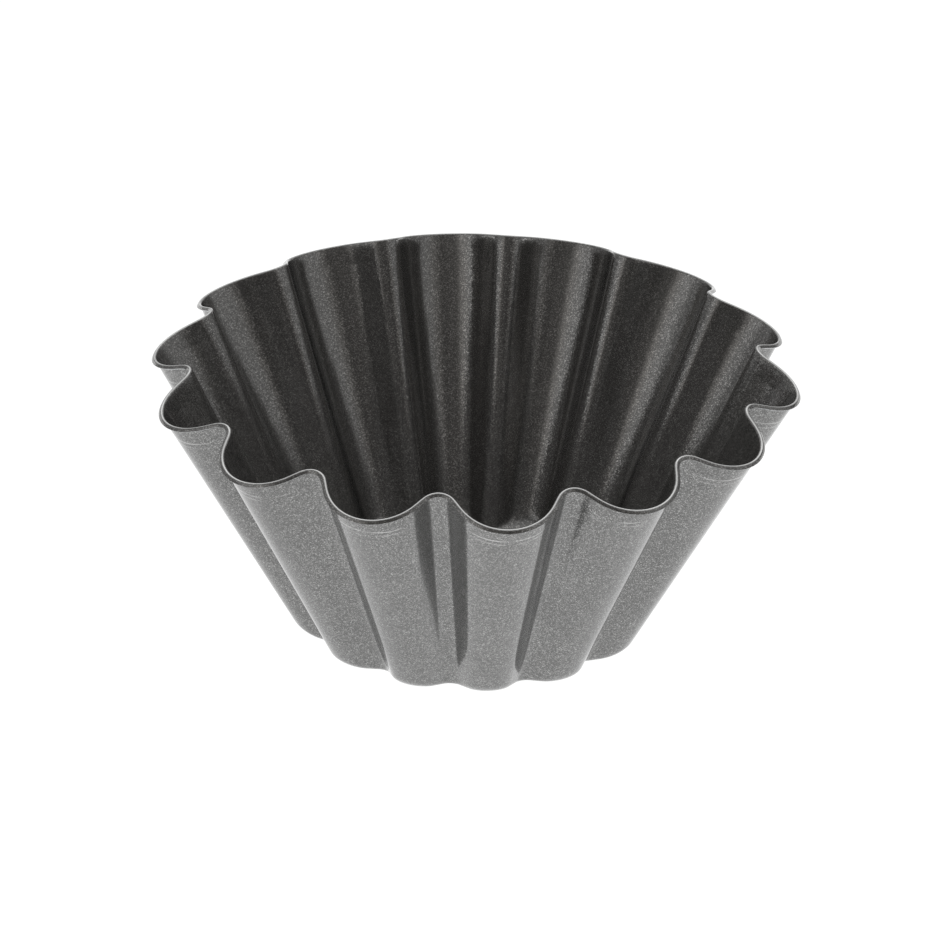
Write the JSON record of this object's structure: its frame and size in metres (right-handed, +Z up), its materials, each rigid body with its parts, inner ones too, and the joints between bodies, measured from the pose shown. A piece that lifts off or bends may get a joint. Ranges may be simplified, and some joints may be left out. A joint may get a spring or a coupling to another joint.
{
  "type": "brioche mould",
  "caption": "Deep round fluted baking mould with a flat floor, a flared scalloped wall and a narrow turned-out lip, coated dark grey inside and out.",
  "frame": {"origin": "middle of the flat underside that the mould stands on, which is the middle of the bottom of its bounding box", "axes": "+Z up out of the mouth along the axis of the flutes, +X through the middle of one lobe, which is the widest way across"},
  "size_m": [0.22, 0.2152, 0.0965],
  "materials": {
    "steel_sheet": "bare steel sheet, seen only as the cut edge of the lip",
    "inner_film": "charcoal non-stick film with fine light metal flakes, satin, inside face",
    "outer_film": "charcoal non-stick film with fine light metal flakes, satin, outside face"
  },
  "bodies": {
    "root": {"sheet_body": "steel_sheet", "inner_coating": "inner_film", "outer_coating": "outer_film"}
  },
  "joints": []
}
